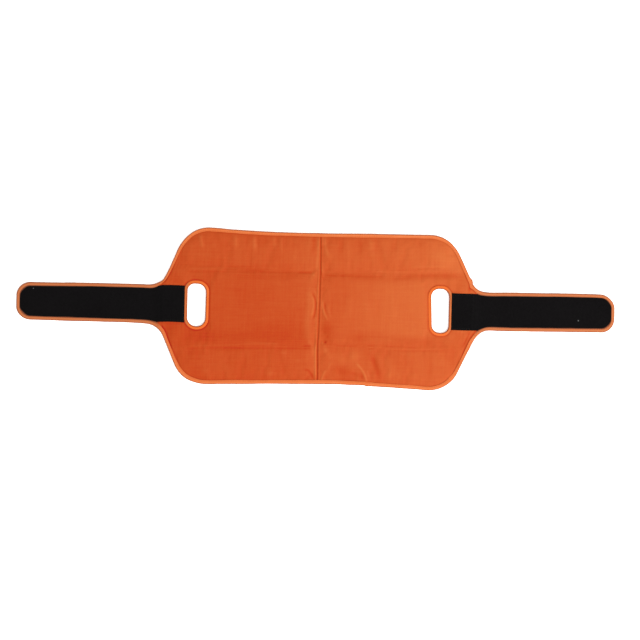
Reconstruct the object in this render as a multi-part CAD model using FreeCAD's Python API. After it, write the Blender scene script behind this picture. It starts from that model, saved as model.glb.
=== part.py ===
# Wrap-around padded knee pad, laid flat with its closing side up.
# X runs along the length, Y across the panel, +Z up. The origin is on the
# resting plane, below the middle of the centre fold.
import FreeCAD, Part
import math
import os

V = FreeCAD.Vector

# ---- driving dimensions, millimetres ----
HALF_LENGTH = 408.0        # fold line to the end of a tail
HALF_HEIGHT_MID = 102.6    # half height of the panel at the fold line
SHOULDER = (180.2, 106.6)  # sharp corner of the shoulder before rounding
ROOT = (216.5, 25.8)       # sharp corner between shoulder and tail
TAIL_HALF = 25.8           # half width of a tail over its binding
R_SHOULDER = 47.0
R_ROOT = 25.0
R_TIP = 18.5

T_BIND = 0.5               # one leg of the folded edge binding
T_SKIN = 0.6               # face fabric and back fabric
T_FOAM = 3.0               # foam between the two fabrics
T_TAPE = 1.5               # hook-and-loop tape over its pile
W_BIND = 5.7               # visible leg of the binding on the panel
W_TAIL_BIND = 4.9          # visible leg of the binding on a tail
W_SLOT_BIND = 3.8          # visible leg of the slot binding

SLOT_X = 165.5             # centre of a slot
SLOT_W = 25.0              # clear width of a slot, along X
SLOT_H = 60.0              # clear height of a slot, along Y
SLOT_R = 11.0

TAPE_HALF = 25.0           # half width of the 50 mm tape
TAPE_END = 182.0           # inner end of the tape on the panel
ROOT_HINGE = 216.0         # bending line at the root of a tail
TIP_HINGE = 331.0          # bending line across a tail
FOLD_GAP = 0.2             # half the running gap at each bending line

THREAD = 0.6               # width of a line of stitching
THREAD_T = 0.15            # height of a line of stitching

Z_PANEL_TOP = 2 * T_BIND + 2 * T_SKIN + T_FOAM        # 5.2
Z_FACE = Z_PANEL_TOP - T_BIND                          # 4.7
Z_TAPE_TOP = Z_FACE + T_TAPE                           # 6.2
Z_TAIL_TOP = 2 * T_BIND + T_SKIN + T_TAPE             # 3.1

BIG = 600.0


# ---- helpers ----
def corners(inset):
    """Sharp corners and radii of the whole outline, moved in by inset."""
    quad = [((0.0, HALF_HEIGHT_MID), 0.0), (SHOULDER, R_SHOULDER),
            (ROOT, -R_ROOT), ((HALF_LENGTH, TAIL_HALF), R_TIP)]
    pts = list(quad)
    pts += [((x, -y), r) for (x, y), r in reversed(quad)]
    pts += [((-x, -y), r) for (x, y), r in quad[1:]]
    pts += [((-x, y), r) for (x, y), r in reversed(quad[1:])]
    # the points run clockwise seen from +Z
    n = len(pts)
    out = []
    for i in range(n):
        (px, py), _ = pts[i - 1]
        (cx, cy), r = pts[i]
        (nx, ny), _ = pts[(i + 1) % n]
        d1 = (cx - px, cy - py)
        d2 = (nx - cx, ny - cy)
        l1 = math.hypot(*d1)
        l2 = math.hypot(*d2)
        d1 = (d1[0] / l1, d1[1] / l1)
        d2 = (d2[0] / l2, d2[1] / l2)
        # inward normals of a clockwise outline are to the right
        n1 = (d1[1], -d1[0])
        n2 = (d2[1], -d2[0])
        k = 1.0 + n1[0] * n2[0] + n1[1] * n2[1]
        ox = (n1[0] + n2[0]) / k * inset
        oy = (n1[1] + n2[1]) / k * inset
        if r > 0:
            rr = max(r - inset, 1.0)
        elif r < 0:
            rr = -r + inset
        else:
            rr = 0.0
        out.append(((cx + ox, cy + oy), rr))
    return out


def rounded_wire(pts):
    n = len(pts)
    ends = []
    for i in range(n):
        (px, py), _ = pts[i - 1]
        (cx, cy), r = pts[i]
        (nx, ny), _ = pts[(i + 1) % n]
        if r <= 0:
            ends.append((V(cx, cy, 0), None, V(cx, cy, 0)))
            continue
        a = V(px - cx, py - cy, 0).normalize()
        b = V(nx - cx, ny - cy, 0).normalize()
        half = a.getAngle(b) / 2.0
        t = r / math.tan(half)
        mid = V(a)
        mid = mid.add(b)
        mid.normalize()
        centre_d = r / math.sin(half)
        c = V(cx, cy, 0)
        p1 = c.add(V(a).multiply(t))
        p2 = c.add(V(b).multiply(t))
        m = c.add(V(mid).multiply(centre_d - r))
        ends.append((p1, m, p2))
    edges = []
    for i in range(n):
        p1, m, p2 = ends[i]
        if m is not None:
            edges.append(Part.Arc(p1, m, p2).toShape())
        q = ends[(i + 1) % n][0]
        if p2.distanceToPoint(q) > 1e-6:
            edges.append(Part.LineSegment(p2, q).toShape())
    return Part.Wire(edges)


def plate(wire, z0, z1):
    face = Part.Face(wire)
    solid = face.extrude(V(0, 0, z1 - z0))
    solid.translate(V(0, 0, z0))
    return solid


def outline(inset, z0, z1):
    return plate(rounded_wire(corners(inset)), z0, z1)


def block(x0, x1, y0, y1, z0, z1):
    return Part.makeBox(x1 - x0, y1 - y0, z1 - z0, V(x0, y0, z0))


def slot_plate(grow, z0, z1):
    w = SLOT_W / 2 + grow
    h = SLOT_H / 2 + grow
    r = SLOT_R + grow
    pts = [((-w, h), r), ((w, h), r), ((w, -h), r), ((-w, -h), r)]
    s = plate(rounded_wire(pts), z0, z1)
    s.translate(V(SLOT_X, 0, 0))
    return s


def u_section(inset_leg, top):
    """Folded binding round the outline: two legs and the wrapped edge."""
    s = outline(0.0, 0.0, top)
    s = s.cut(outline(T_BIND, T_BIND, top - T_BIND))
    return s.cut(outline(inset_leg, -1.0, top + 1.0))


def thread_line(inset, z):
    return outline(inset, z, z + THREAD_T).cut(outline(inset + THREAD, z - 1, z + 1))


def solids(shape):
    s = shape.removeSplitter()
    got = s.Solids
    return got[0] if len(got) == 1 else Part.makeCompound(got)


def mirrored(shape):
    return shape.mirror(V(0, 0, 0), V(1, 0, 0))


# ---- regions, drawn on the +X side ----
PANEL = (FOLD_GAP, ROOT_HINGE - FOLD_GAP)
INNER = (ROOT_HINGE + FOLD_GAP, TIP_HINGE - FOLD_GAP)
TIP = (TIP_HINGE + FOLD_GAP, HALF_LENGTH + 10)


def within(shape, span, y0=-BIG, y1=BIG):
    return shape.common(block(span[0], span[1], y0, y1, -20, 40))


def build_side():
    parts = {}
    slot_cut = slot_plate(T_BIND, -5, 20)

    # padded panel: back fabric, foam, face fabric
    z = T_BIND
    for name, t in (("back_panel", T_SKIN), ("foam_pad", T_FOAM), ("face_panel", T_SKIN)):
        parts[name] = within(outline(T_BIND, z, z + t), PANEL).cut(slot_cut)
        z += t

    # folded edge binding of the panel, above and below
    ring = u_section(W_BIND, Z_PANEL_TOP)
    parts["upper_binding"] = within(ring, PANEL, 0, BIG)
    parts["lower_binding"] = within(ring, PANEL, -BIG, 0)

    # folded binding round the slot
    rim = slot_plate(W_SLOT_BIND, 0, Z_PANEL_TOP).cut(slot_plate(0.0, -1, 20))
    groove = slot_plate(W_SLOT_BIND + 1, T_BIND, Z_PANEL_TOP - T_BIND).cut(slot_plate(T_BIND, -1, 20))
    parts["slot_binding"] = rim.cut(groove)

    # inner end of the tape, sewn on the face between slot and tail
    anchor = outline(W_BIND + 0.05, Z_FACE, Z_TAPE_TOP).common(
        block(TAPE_END, PANEL[1], -TAPE_HALF, TAPE_HALF, 0, 20))
    parts["root_tape"] = anchor

    # stitching of the panel
    parts["edge_stitching"] = within(thread_line(W_BIND - 1.5, Z_PANEL_TOP), PANEL)
    parts["slot_stitching"] = slot_plate(W_SLOT_BIND - 0.9, Z_PANEL_TOP, Z_PANEL_TOP + THREAD_T).cut(
        slot_plate(W_SLOT_BIND - 0.9 - THREAD, -1, 20))
    frame_o = block(TAPE_END + 2.0, PANEL[1] - 2.0, -21.0, 21.0, Z_TAPE_TOP, Z_TAPE_TOP + THREAD_T)
    frame_i = block(TAPE_END + 2.0 + THREAD, PANEL[1] - 2.0 - THREAD, -21.0 + THREAD, 21.0 - THREAD, 0, 20)
    parts["root_tape_stitching"] = frame_o.cut(frame_i)

    # tail: backing, tape, binding and stitching, split at the bending line
    backing = outline(T_BIND, T_BIND, T_BIND + T_SKIN)
    tape = outline(T_BIND, T_BIND + T_SKIN, Z_TAIL_TOP - T_BIND)
    tail_ring = u_section(W_TAIL_BIND, Z_TAIL_TOP)
    tail_thread = thread_line(W_TAIL_BIND - 1.4, Z_TAIL_TOP)
    for tag, span in (("tail", INNER), ("tip", TIP)):
        parts[tag + "_backing"] = within(backing, span)
        parts[tag + "_tape"] = within(tape, span)
        parts[tag + "_binding"] = within(tail_ring, span)
        parts[tag + "_stitching"] = within(tail_thread, span)
    return parts


def main():
    os.makedirs("parts", exist_ok=True)
    right = build_side()
    total = 0.0
    for name in sorted(right):
        shape = solids(right[name])
        for side, s in (("right", shape), ("left", mirrored(shape))):
            node = side + "_" + name
            if not s.isValid():
                raise RuntimeError(node + " is not valid")
            for one in s.Solids:
                if one.Volume <= 0:
                    one.reverse()
            s.exportStep("parts/" + node + ".step")
            total += abs(s.Volume)
            if side == "right":
                bb = s.BoundBox
                print("%-26s solids %d  volume %9.1f  x %7.2f %7.2f  y %7.2f %7.2f  z %5.2f %5.2f" % (
                    name, len(s.Solids), s.Volume, bb.XMin, bb.XMax, bb.YMin, bb.YMax, bb.ZMin, bb.ZMax))
    print("total volume cm3 %.1f" % (total / 1000.0))


main()
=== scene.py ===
import bpy
import bmesh
import math
import numpy as np
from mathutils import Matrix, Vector


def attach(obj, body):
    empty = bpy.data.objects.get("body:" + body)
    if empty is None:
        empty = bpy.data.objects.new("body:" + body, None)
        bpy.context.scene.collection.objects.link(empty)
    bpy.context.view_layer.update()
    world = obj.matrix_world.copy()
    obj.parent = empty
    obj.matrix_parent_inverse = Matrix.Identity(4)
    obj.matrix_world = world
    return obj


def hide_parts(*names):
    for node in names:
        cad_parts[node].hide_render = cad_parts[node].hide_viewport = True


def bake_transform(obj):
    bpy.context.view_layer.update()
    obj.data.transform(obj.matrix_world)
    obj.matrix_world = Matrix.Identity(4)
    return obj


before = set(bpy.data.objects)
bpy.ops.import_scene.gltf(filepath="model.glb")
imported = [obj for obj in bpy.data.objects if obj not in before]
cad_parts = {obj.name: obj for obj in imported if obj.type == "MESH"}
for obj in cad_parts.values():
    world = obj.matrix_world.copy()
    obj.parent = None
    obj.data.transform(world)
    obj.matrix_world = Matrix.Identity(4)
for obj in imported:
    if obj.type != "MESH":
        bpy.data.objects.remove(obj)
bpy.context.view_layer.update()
MM = 0.001

# ------------------------------------------------------------------ dimensions, millimetres (as in the CAD part)
HALF_LENGTH = 408.0
HALF_HEIGHT_MID = 102.6
SHOULDER = (180.2, 106.6)
ROOT = (216.5, 25.8)
TAIL_HALF = 25.8
R_SHOULDER, R_ROOT, R_TIP = 47.0, 25.0, 18.5
W_BIND, W_TAIL_BIND, W_SLOT_BIND = 5.2, 4.95, 4.6      # as folded and flattened, a little less than the CAD width
SLOT_X, SLOT_W, SLOT_H, SLOT_R = 165.5, 25.0, 60.0, 11.0
TAPE_HALF, TAPE_END = 25.0, 181.4
PANEL_END = 214.2          # where the padded panel stops, just before the bending line at 216
LEFT_END = 211.5           # the same on the left, where the outline is drawn out a little
SPLIT = 190.0              # edge binding changes piece here, inside a rigid stretch
TAIL_SPLIT = 285.0         # tape and tail binding change piece here


# ------------------------------------------------------------------ small numeric helpers
def lattice(seed):
    return np.random.default_rng(seed).uniform(-1, 1, (128, 128))


def vnoise(x, y, cell, seed):
    """Smooth value noise from -1 to 1."""
    t = lattice(seed)
    gx, gy = np.asarray(x, float) / cell + 57.3, np.asarray(y, float) / cell + 31.7
    ix, iy = np.floor(gx).astype(int), np.floor(gy).astype(int)
    fx, fy = gx - ix, gy - iy
    fx, fy = fx * fx * fx * (fx * (fx * 6 - 15) + 10), fy * fy * fy * (fy * (fy * 6 - 15) + 10)
    a = t[ix % 128, iy % 128]
    b = t[(ix + 1) % 128, iy % 128]
    c = t[ix % 128, (iy + 1) % 128]
    d = t[(ix + 1) % 128, (iy + 1) % 128]
    return (a * (1 - fx) + b * fx) * (1 - fy) + (c * (1 - fx) + d * fx) * fy


def fbm(x, y, cell, seed, octaves=3, gain=0.5):
    total, amp, norm = 0.0, 1.0, 0.0
    for k in range(octaves):
        total = total + amp * vnoise(x, y, cell / 2 ** k, seed + 17 * k)
        norm += amp
        amp *= gain
    return total / norm


def smooth01(t):
    t = np.clip(t, 0, 1)
    return t * t * (3 - 2 * t)


def bell(d, w):
    return np.exp(-(d / w) ** 2)


# ------------------------------------------------------------------ the outline
def corners(inset):
    quad = [((0.0, HALF_HEIGHT_MID), 0.0), (SHOULDER, R_SHOULDER), (ROOT, -R_ROOT), ((HALF_LENGTH, TAIL_HALF), R_TIP)]
    pts = list(quad)
    pts += [((x, -y), r) for (x, y), r in reversed(quad)]
    pts += [((-x, -y), r) for (x, y), r in quad[1:]]
    pts += [((-x, y), r) for (x, y), r in reversed(quad[1:])]
    n, out = len(pts), []
    for i in range(n):
        (px, py), _ = pts[i - 1]
        (cx, cy), r = pts[i]
        (nx, ny), _ = pts[(i + 1) % n]
        d1, d2 = np.array([cx - px, cy - py]), np.array([nx - cx, ny - cy])
        d1, d2 = d1 / np.linalg.norm(d1), d2 / np.linalg.norm(d2)
        n1, n2 = np.array([d1[1], -d1[0]]), np.array([d2[1], -d2[0]])
        off = (n1 + n2) / (1 + n1 @ n2) * inset
        rr = max(r - inset, 1.0) if r > 0 else (-r + inset if r < 0 else 0.0)
        out.append((np.array([cx, cy]) + off, rr))
    return out


def rounded(pts, step=1.0):
    """Closed polyline of a rounded polygon."""
    n, out = len(pts), []
    for i in range(n):
        p, (c, r), q = pts[i - 1][0], pts[i], pts[(i + 1) % n][0]
        if r <= 0:
            out.append(c)
            continue
        a, b = (p - c) / np.linalg.norm(p - c), (q - c) / np.linalg.norm(q - c)
        half = math.acos(np.clip(a @ b, -1, 1)) / 2
        m = c + (a + b) / np.linalg.norm(a + b) * r / math.sin(half)
        p1, p2 = c + a * r / math.tan(half), c + b * r / math.tan(half)
        a1, a2 = math.atan2(*(p1 - m)[::-1]), math.atan2(*(p2 - m)[::-1])
        turn = (a2 - a1 + math.pi) % (2 * math.pi) - math.pi
        k = max(6, int(abs(turn) * r / step))
        for j in range(k + 1):
            t = a1 + turn * j / k
            out.append(m + r * np.array([math.cos(t), math.sin(t)]))
    return np.array(out)


def resample(line, step, closed=True):
    pts = np.vstack([line, line[:1]]) if closed else line
    seg = np.linalg.norm(np.diff(pts, axis=0), axis=1)
    s = np.concatenate([[0], np.cumsum(seg)])
    n = max(8, int(round(s[-1] / step)))
    at = np.linspace(0, s[-1], n + 1)
    if closed:
        at = at[:-1]
    return np.stack([np.interp(at, s, pts[:, 0]), np.interp(at, s, pts[:, 1])], 1), at


def inward(line, closed=True):
    """Unit tangents, and unit normals to the right of a clockwise line, which is inward."""
    if closed:
        d = np.roll(line, -1, 0) - np.roll(line, 1, 0)
    else:
        d = np.gradient(line, axis=0)
    d = d / np.linalg.norm(d, axis=1)[:, None]
    return d, np.stack([d[:, 1], -d[:, 0]], 1)


OUT = rounded(corners(0.0))
OUT_D, _ = resample(OUT, 1.0)


def half_height(inset):
    """Half height of the outline, moved in by inset, as a function of x."""
    line = rounded(corners(inset))
    keep = (line[:, 0] >= -1e-6) & (line[:, 1] > TAIL_HALF - R_TIP - 0.6)
    pts = line[keep]
    pts = pts[np.argsort(pts[:, 0], kind="stable")]
    return lambda x: np.interp(np.abs(x), pts[:, 0], pts[:, 1])


# ------------------------------------------------------------------ the real pad isn't quite symmetric: a small smooth warp
TOP_X = [-408, -380, -300, -275, -250, -228, -216, -210, -204, -198, -190, -180, -170, -160, -140, -120, -80, -20, 0, 20, 80, 120, 150, 180, 190, 197, 205, 216, 228, 240, 251, 263, 276, 300, 360, 408]
TOP_D = [0.05, 0.15, 0.85, 0.95, 0.75, 0.05, -2.15, -4.75, -6.63, -5.99, -4.3, -2.33, -0.7, -0.28, -0.45, -1.55, -2.35, -1.81, -1.44, -1.64, -2.35, -3.15, -3.65, -3.35, -3.85, -2.75, -1.25, -1.15, -0.05, -0.15, 0.05, 0.25, 0.45, 0.55, 1.05, 0.25]
BOT_X = [-408, -380, -345, -320, -290, -250, -235, -222, -214, -207, -200, -192, -180, -165, -150, -100, -60, -20, 0, 25, 45, 60, 90, 120, 150, 175, 195, 203, 210, 217, 228, 250, 268, 285, 320, 380, 408]
BOT_D = [0.48, 0.18, -0.22, -0.42, -0.62, -0.92, -1.62, -2.52, -2.82, -3.22, -4.32, -5.12, -4.22, -2.62, -2.22, -2.02, -1.72, -1.92, -1.92, -1.12, -1.32, -1.12, -1.92, -2.92, -3.92, -5.02, -6.22, -7.12, -8.02, -4.92, -1.72, -0.92, -1.12, -0.92, -0.52, -0.02, 0.38]
MID_X = [-408, -300, -250, -228, -216, -205, -195, -183, -172, -160, -120, 0, 100, 150, 165, 183, 205, 216, 230, 260, 320, 408]
MID_D = [.1, 0, -.2, -.1, .4, .9, .9, .5, -.3, -1.0, -1.6, -1.9, -2.0, -1.4, -1.1, -1.7, -1.9, -1.8, -1.3, -.8, -.2, 0]


def knots(x, xs, ds):
    """Catmull-Rom through the knots, so the warp has no kinks."""
    xs, ds = np.array(xs, float), np.array(ds, float)
    m = np.gradient(ds, xs)
    i = np.clip(np.searchsorted(xs, x) - 1, 0, len(xs) - 2)
    h = xs[i + 1] - xs[i]
    t = np.clip((x - xs[i]) / h, 0, 1)
    return ((2 * t ** 3 - 3 * t ** 2 + 1) * ds[i] + (t ** 3 - 2 * t ** 2 + t) * h * m[i]
            + (-2 * t ** 3 + 3 * t ** 2) * ds[i + 1] + (t ** 3 - t ** 2) * h * m[i + 1])


HH0 = half_height(0.0)


def warp(x, y):
    x, y = np.asarray(x, float), np.asarray(y, float)
    ax = np.abs(x)
    h = np.maximum(HH0(x), 8.0)
    y1 = np.interp(ax, [0, 60, 150, 203, 212, 220, 234], [8, 8, 31, 27.5, 25.6, 18, 4])
    y2 = np.maximum(h - 2.0, y1 + 7.0)
    w = smooth01((np.abs(y) - y1) / (y2 - y1))
    outer = np.where(y > 0, knots(x, TOP_X, TOP_D), knots(x, BOT_X, BOT_D))
    dy = knots(x, MID_X, MID_D) * (1 - w) + outer * w
    dx = -0.0135 * ax + 0.8 * bell(x - 176, 26) * smooth01((52 - np.abs(y)) / 16)
    # the hand-sewn corners of the straps aren't true arcs
    q = np.clip((ax - 383) / 25.0, 0, 1) ** 2
    round_off = np.where(x > 0, np.where(y > 0, 0.10, -0.02), np.where(y > 0, -0.01, 0.03))
    dy = dy - y * round_off * q
    # a nick in the right shoulder, and a step in the lower edge where the binding was started
    b1 = np.exp(-((x - 210.1) ** 2 + (y - 42.3) ** 2) / 3.0 ** 2)
    b2 = np.exp(-((x - 208.4) ** 2 + (y - 34.6) ** 2) / 3.2 ** 2)
    dx = dx + 1.35 * b1 - 1.45 * b2
    dy = dy + 0.7 * b1 - 1.2 * b2
    dy = dy - 0.95 * smooth01((x - 64.6) / 2.0) * np.exp(-np.maximum(x - 66, 0) / 14.0) * smooth01((-y - 92) / 8.0)
    return x + dx, y + dy


# ------------------------------------------------------------------ mesh helpers
def make_object(name, verts_mm, faces, mats, face_mat=None, warped=False, attrs=None, smooth=True, angle=50):
    v = np.array(verts_mm, float)
    if not warped:
        v[:, 0], v[:, 1] = warp(v[:, 0], v[:, 1])
    v = v * MM
    mesh = bpy.data.meshes.new(name)
    mesh.from_pydata(v.tolist(), [], faces)
    for m in mats:
        mesh.materials.append(m)
    if face_mat is not None:
        mesh.polygons.foreach_set("material_index", np.array(face_mat, np.int32))
    rest = mesh.attributes.new("rest", "FLOAT_VECTOR", "POINT")
    rest.data.foreach_set("vector", v.astype(np.float32).ravel())
    for key, values in (attrs or {}).items():
        a = mesh.attributes.new(key, "FLOAT", "POINT")
        a.data.foreach_set("value", np.asarray(values, np.float32).ravel())
    mesh.validate()
    mesh.update()
    if smooth:
        mesh.shade_smooth()
        mesh.set_sharp_from_angle(angle=math.radians(angle))
    ob = bpy.data.objects.new(name, mesh)
    bpy.context.scene.collection.objects.link(ob)
    return ob


def shell(name, xs, hh, rows, top, bottom, mats, hole=None, attrs=None, bottom_mat=None, side_mat=None, bend=warp):
    """A closed padded or flat piece from a grid of columns at xs, reaching hh(x) up and down."""
    xs = np.asarray(xs, float)
    h = hh(xs)
    v = np.linspace(-1, 1, rows + 1)
    X = np.repeat(xs[:, None], rows + 1, 1)
    Y = h[:, None] * v[None, :]
    nc, nr = X.shape
    WX, WY = bend(X, Y)
    ZT, ZB = top(X, Y, WX, WY), bottom(X, Y, WX, WY)
    cx = (X[:-1, :-1] + X[1:, 1:]) / 2
    cy = (Y[:-1, :-1] + Y[1:, 1:] + Y[1:, :-1] + Y[:-1, 1:]) / 4
    keep = np.ones(cx.shape, bool) if hole is None else ~hole(cx, cy)
    idx = np.arange(nc * nr).reshape(nc, nr)
    n = nc * nr
    faces, fmat = [], []
    bm_, sm_ = (0 if bottom_mat is None else bottom_mat), (0 if side_mat is None else side_mat)
    ii, jj = np.nonzero(keep)
    for i, j in zip(ii.tolist(), jj.tolist()):
        q = [idx[i, j], idx[i + 1, j], idx[i + 1, j + 1], idx[i, j + 1]]
        q = [int(k) for k in q]
        faces.append(q)
        fmat.append(0)
        faces.append([k + n for k in reversed(q)])
        fmat.append(bm_)
        for a, b, di, dj in ((q[0], q[1], 0, -1), (q[1], q[2], 1, 0), (q[2], q[3], 0, 1), (q[3], q[0], -1, 0)):
            i2, j2 = i + di, j + dj
            if 0 <= i2 < keep.shape[0] and 0 <= j2 < keep.shape[1] and keep[i2, j2]:
                continue
            faces.append([b, a, a + n, b + n])
            fmat.append(sm_)
    verts = np.concatenate([np.stack([WX.ravel(), WY.ravel(), ZT.ravel()], 1), np.stack([WX.ravel(), WY.ravel(), ZB.ravel()], 1)])
    used = np.zeros(2 * n, bool)
    for f in faces:
        used[f] = True
    new = np.cumsum(used) - 1
    faces = [[int(new[k]) for k in f] for f in faces]
    av = {}
    for key, fn in (attrs or {}).items():
        val = fn(X, Y, WX, WY).ravel()
        av[key] = np.concatenate([val, val])[used]
    return make_object(name, verts[used], faces, mats, fmat, warped=True, attrs=av)


def sweep(name, line, normals, s, profile, mats, closed=False, attrs_extra=None):
    """A closed cross-section (n inwards, z up) carried along a line of stations. profile(i) gives (k, 2)."""
    m = len(line)
    prof = [np.asarray(profile(i), float) for i in range(m)]
    k = len(prof[0])
    verts = np.zeros((m * k, 3))
    an, as_ = np.zeros(m * k), np.zeros(m * k)
    for i in range(m):
        p = prof[i]
        verts[i * k:(i + 1) * k, 0] = line[i, 0] + normals[i, 0] * p[:, 0]
        verts[i * k:(i + 1) * k, 1] = line[i, 1] + normals[i, 1] * p[:, 0]
        verts[i * k:(i + 1) * k, 2] = p[:, 1]
        an[i * k:(i + 1) * k] = p[:, 0]
        as_[i * k:(i + 1) * k] = s[i]
    faces = []
    for i in range(m if closed else m - 1):
        a, b = i * k, ((i + 1) % m) * k
        for j in range(k):
            j2 = (j + 1) % k
            faces.append([a + j, a + j2, b + j2, b + j])
    if not closed:
        faces.append(list(range(k))[::-1])
        faces.append([(m - 1) * k + j for j in range(k)])
    ax = np.abs(verts[:, 0])
    dull = smooth01((ax - 206) / 22) if attrs_extra is None else attrs_extra(verts)
    return make_object(name, verts, faces, mats, attrs={"along": as_ * MM, "across": an * MM, "dull": dull}, angle=62)


def fix_normals(ob):
    bm = bmesh.new()
    bm.from_mesh(ob.data)
    bmesh.ops.recalc_face_normals(bm, faces=bm.faces)
    bm.to_mesh(ob.data)
    bm.free()


# ------------------------------------------------------------------ materials
def new_material(name):
    m = bpy.data.materials.new(name)
    m.use_nodes = True
    nt = m.node_tree
    return m, nt, nt.nodes["Principled BSDF"]


class Nodes:
    def __init__(self, nt):
        self.nt = nt

    def add(self, kind, **props):
        n = self.nt.nodes.new(kind)
        for k, v in props.items():
            setattr(n, k, v)
        return n

    def put(self, socket, value):
        if isinstance(value, bpy.types.NodeSocket):
            self.nt.links.new(value, socket)
        else:
            socket.default_value = value

    def math(self, op, a, b=None, c=None, clamp=False):
        n = self.add("ShaderNodeMath", operation=op, use_clamp=clamp)
        self.put(n.inputs[0], a)
        if b is not None:
            self.put(n.inputs[1], b)
        if c is not None:
            self.put(n.inputs[2], c)
        return n.outputs[0]

    def attr(self, name):
        n = self.add("ShaderNodeAttribute", attribute_name=name, attribute_type="GEOMETRY")
        return n

    def noise(self, vec, scale, detail=2.0, rough=0.5, distortion=0.0):
        n = self.add("ShaderNodeTexNoise")
        self.put(n.inputs["Vector"], vec)
        n.inputs["Scale"].default_value = scale
        n.inputs["Detail"].default_value = detail
        n.inputs["Roughness"].default_value = rough
        n.inputs["Distortion"].default_value = distortion
        return n.outputs["Fac"]

    def mix(self, fac, a, b, blend="MIX"):
        n = self.add("ShaderNodeMix", data_type="RGBA", blend_type=blend)
        self.put(n.inputs[0], fac)
        self.put(n.inputs[6], a)
        self.put(n.inputs[7], b)
        return n.outputs[2]

    def range(self, v, a, b, c, d):
        n = self.add("ShaderNodeMapRange")
        self.put(n.inputs[0], v)
        for i, val in enumerate((a, b, c, d)):
            n.inputs[i + 1].default_value = val
        return n.outputs[0]

    def bump(self, height, strength, distance, normal=None):
        n = self.add("ShaderNodeBump")
        n.inputs["Strength"].default_value = strength
        n.inputs["Distance"].default_value = distance
        self.put(n.inputs["Height"], height)
        if normal is not None:
            self.put(n.inputs["Normal"], normal)
        return n.outputs["Normal"]


def lin(r, g, b):
    def f(c):
        c = c / 255.0
        return c / 12.92 if c <= 0.04045 else ((c + 0.055) / 1.055) ** 2.4
    return (f(r), f(g), f(b), 1.0)


def weave_height(N, vec, pitch):
    """Plain weave from two crossing sets of yarns, over and under by turns."""
    sep = N.add("ShaderNodeSeparateXYZ")
    N.put(sep.inputs[0], vec)
    k = math.pi / pitch
    sx = N.math("SINE", N.math("MULTIPLY", sep.outputs[0], k))
    sy = N.math("SINE", N.math("MULTIPLY", sep.outputs[1], k))
    cx = N.math("ABSOLUTE", N.math("COSINE", N.math("MULTIPLY", sep.outputs[0], k)))
    cy = N.math("ABSOLUTE", N.math("COSINE", N.math("MULTIPLY", sep.outputs[1], k)))
    over = N.math("MULTIPLY", sx, sy)
    return N.math("ADD", N.math("MULTIPLY", over, 0.6), N.math("MULTIPLY", N.math("ADD", cx, cy), -0.35))


LIGHT = 1.90               # what the studio gives a white card at the middle of the picture


def dye(r, g, b):
    """A seen colour, as the reflectance that shows it under this light."""
    c = lin(r, g, b)
    return (c[0] / LIGHT, c[1] / LIGHT, c[2] / LIGHT, 1.0)


def scaled(N, vec, x, y, z):
    n = N.add("ShaderNodeVectorMath", operation="MULTIPLY")
    N.put(n.inputs[0], vec)
    n.inputs[1].default_value = (x, y, z)
    return n.outputs[0]


def fabric_material(name, deep, pale, pitch=0.0009, rough=0.72, sheen=0.07):
    """Woven cloth. The tone attribute runs from the deep to the pale colour and a little beyond either; it also carries
    painted light, painted shade and painted highlights where the pieces give them.
    """
    m, nt, bsdf = new_material(name)
    N = Nodes(nt)
    rest = N.attr("rest").outputs["Vector"]
    tone = N.attr("tone").outputs["Fac"]
    n1 = N.noise(rest, 40.0, 3.0, 0.55)
    n2 = N.noise(rest, 150.0, 3.0, 0.55)
    n3 = N.noise(rest, 1600.0, 2.0, 0.6)
    warp_yarn = N.noise(scaled(N, rest, 620.0, 22.0, 22.0), 1.0, 2.0, 0.6)
    weft_yarn = N.noise(scaled(N, rest, 22.0, 620.0, 22.0), 1.0, 2.0, 0.6)
    w = weave_height(N, rest, pitch)
    t = N.math("ADD", tone, N.math("MULTIPLY", N.math("SUBTRACT", n1, 0.5), 0.22))
    t = N.math("ADD", t, N.math("MULTIPLY", N.math("SUBTRACT", n2, 0.5), 0.24))
    t = N.math("ADD", t, N.math("MULTIPLY", N.math("SUBTRACT", warp_yarn, 0.5), 0.42))
    t = N.math("ADD", t, N.math("MULTIPLY", N.math("SUBTRACT", weft_yarn, 0.5), 0.42))
    t = N.math("ADD", t, N.math("MULTIPLY", N.math("SUBTRACT", n3, 0.5), 0.5))
    # darker where the yarns dip under: a painted shade in the gaps of the weave
    t = N.math("ADD", t, N.range(w, -0.75, 0.1, -0.30, 0.05))
    t = N.math("MAXIMUM", t, -0.75)
    n = N.add("ShaderNodeMix", data_type="RGBA", blend_type="MIX", clamp_factor=False)
    N.put(n.inputs[0], t)
    N.put(n.inputs[6], deep)
    N.put(n.inputs[7], pale)
    floor_ = N.add("ShaderNodeVectorMath", operation="MAXIMUM")
    N.put(floor_.inputs[0], n.outputs[2])
    floor_.inputs[1].default_value = (0.02, 0.004, 0.001)
    N.put(bsdf.inputs["Base Color"], floor_.outputs[0])
    N.put(bsdf.inputs["Roughness"], N.math("ADD", rough, N.math("MULTIPLY", N.math("SUBTRACT", n2, 0.5), 0.22)))
    bsdf.inputs["Specular IOR Level"].default_value = 0.10
    bsdf.inputs["Sheen Weight"].default_value = sheen
    bsdf.inputs["Sheen Roughness"].default_value = 0.45
    bsdf.inputs["Sheen Tint"].default_value = (1.0, 0.55, 0.30, 1.0)
    h = N.math("ADD", w, N.math("MULTIPLY", n3, 0.5))
    nrm = N.bump(h, 0.5, 0.00012)
    nrm = N.bump(n2, 0.35, 0.0006, nrm)
    N.put(bsdf.inputs["Normal"], nrm)
    return m


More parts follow.
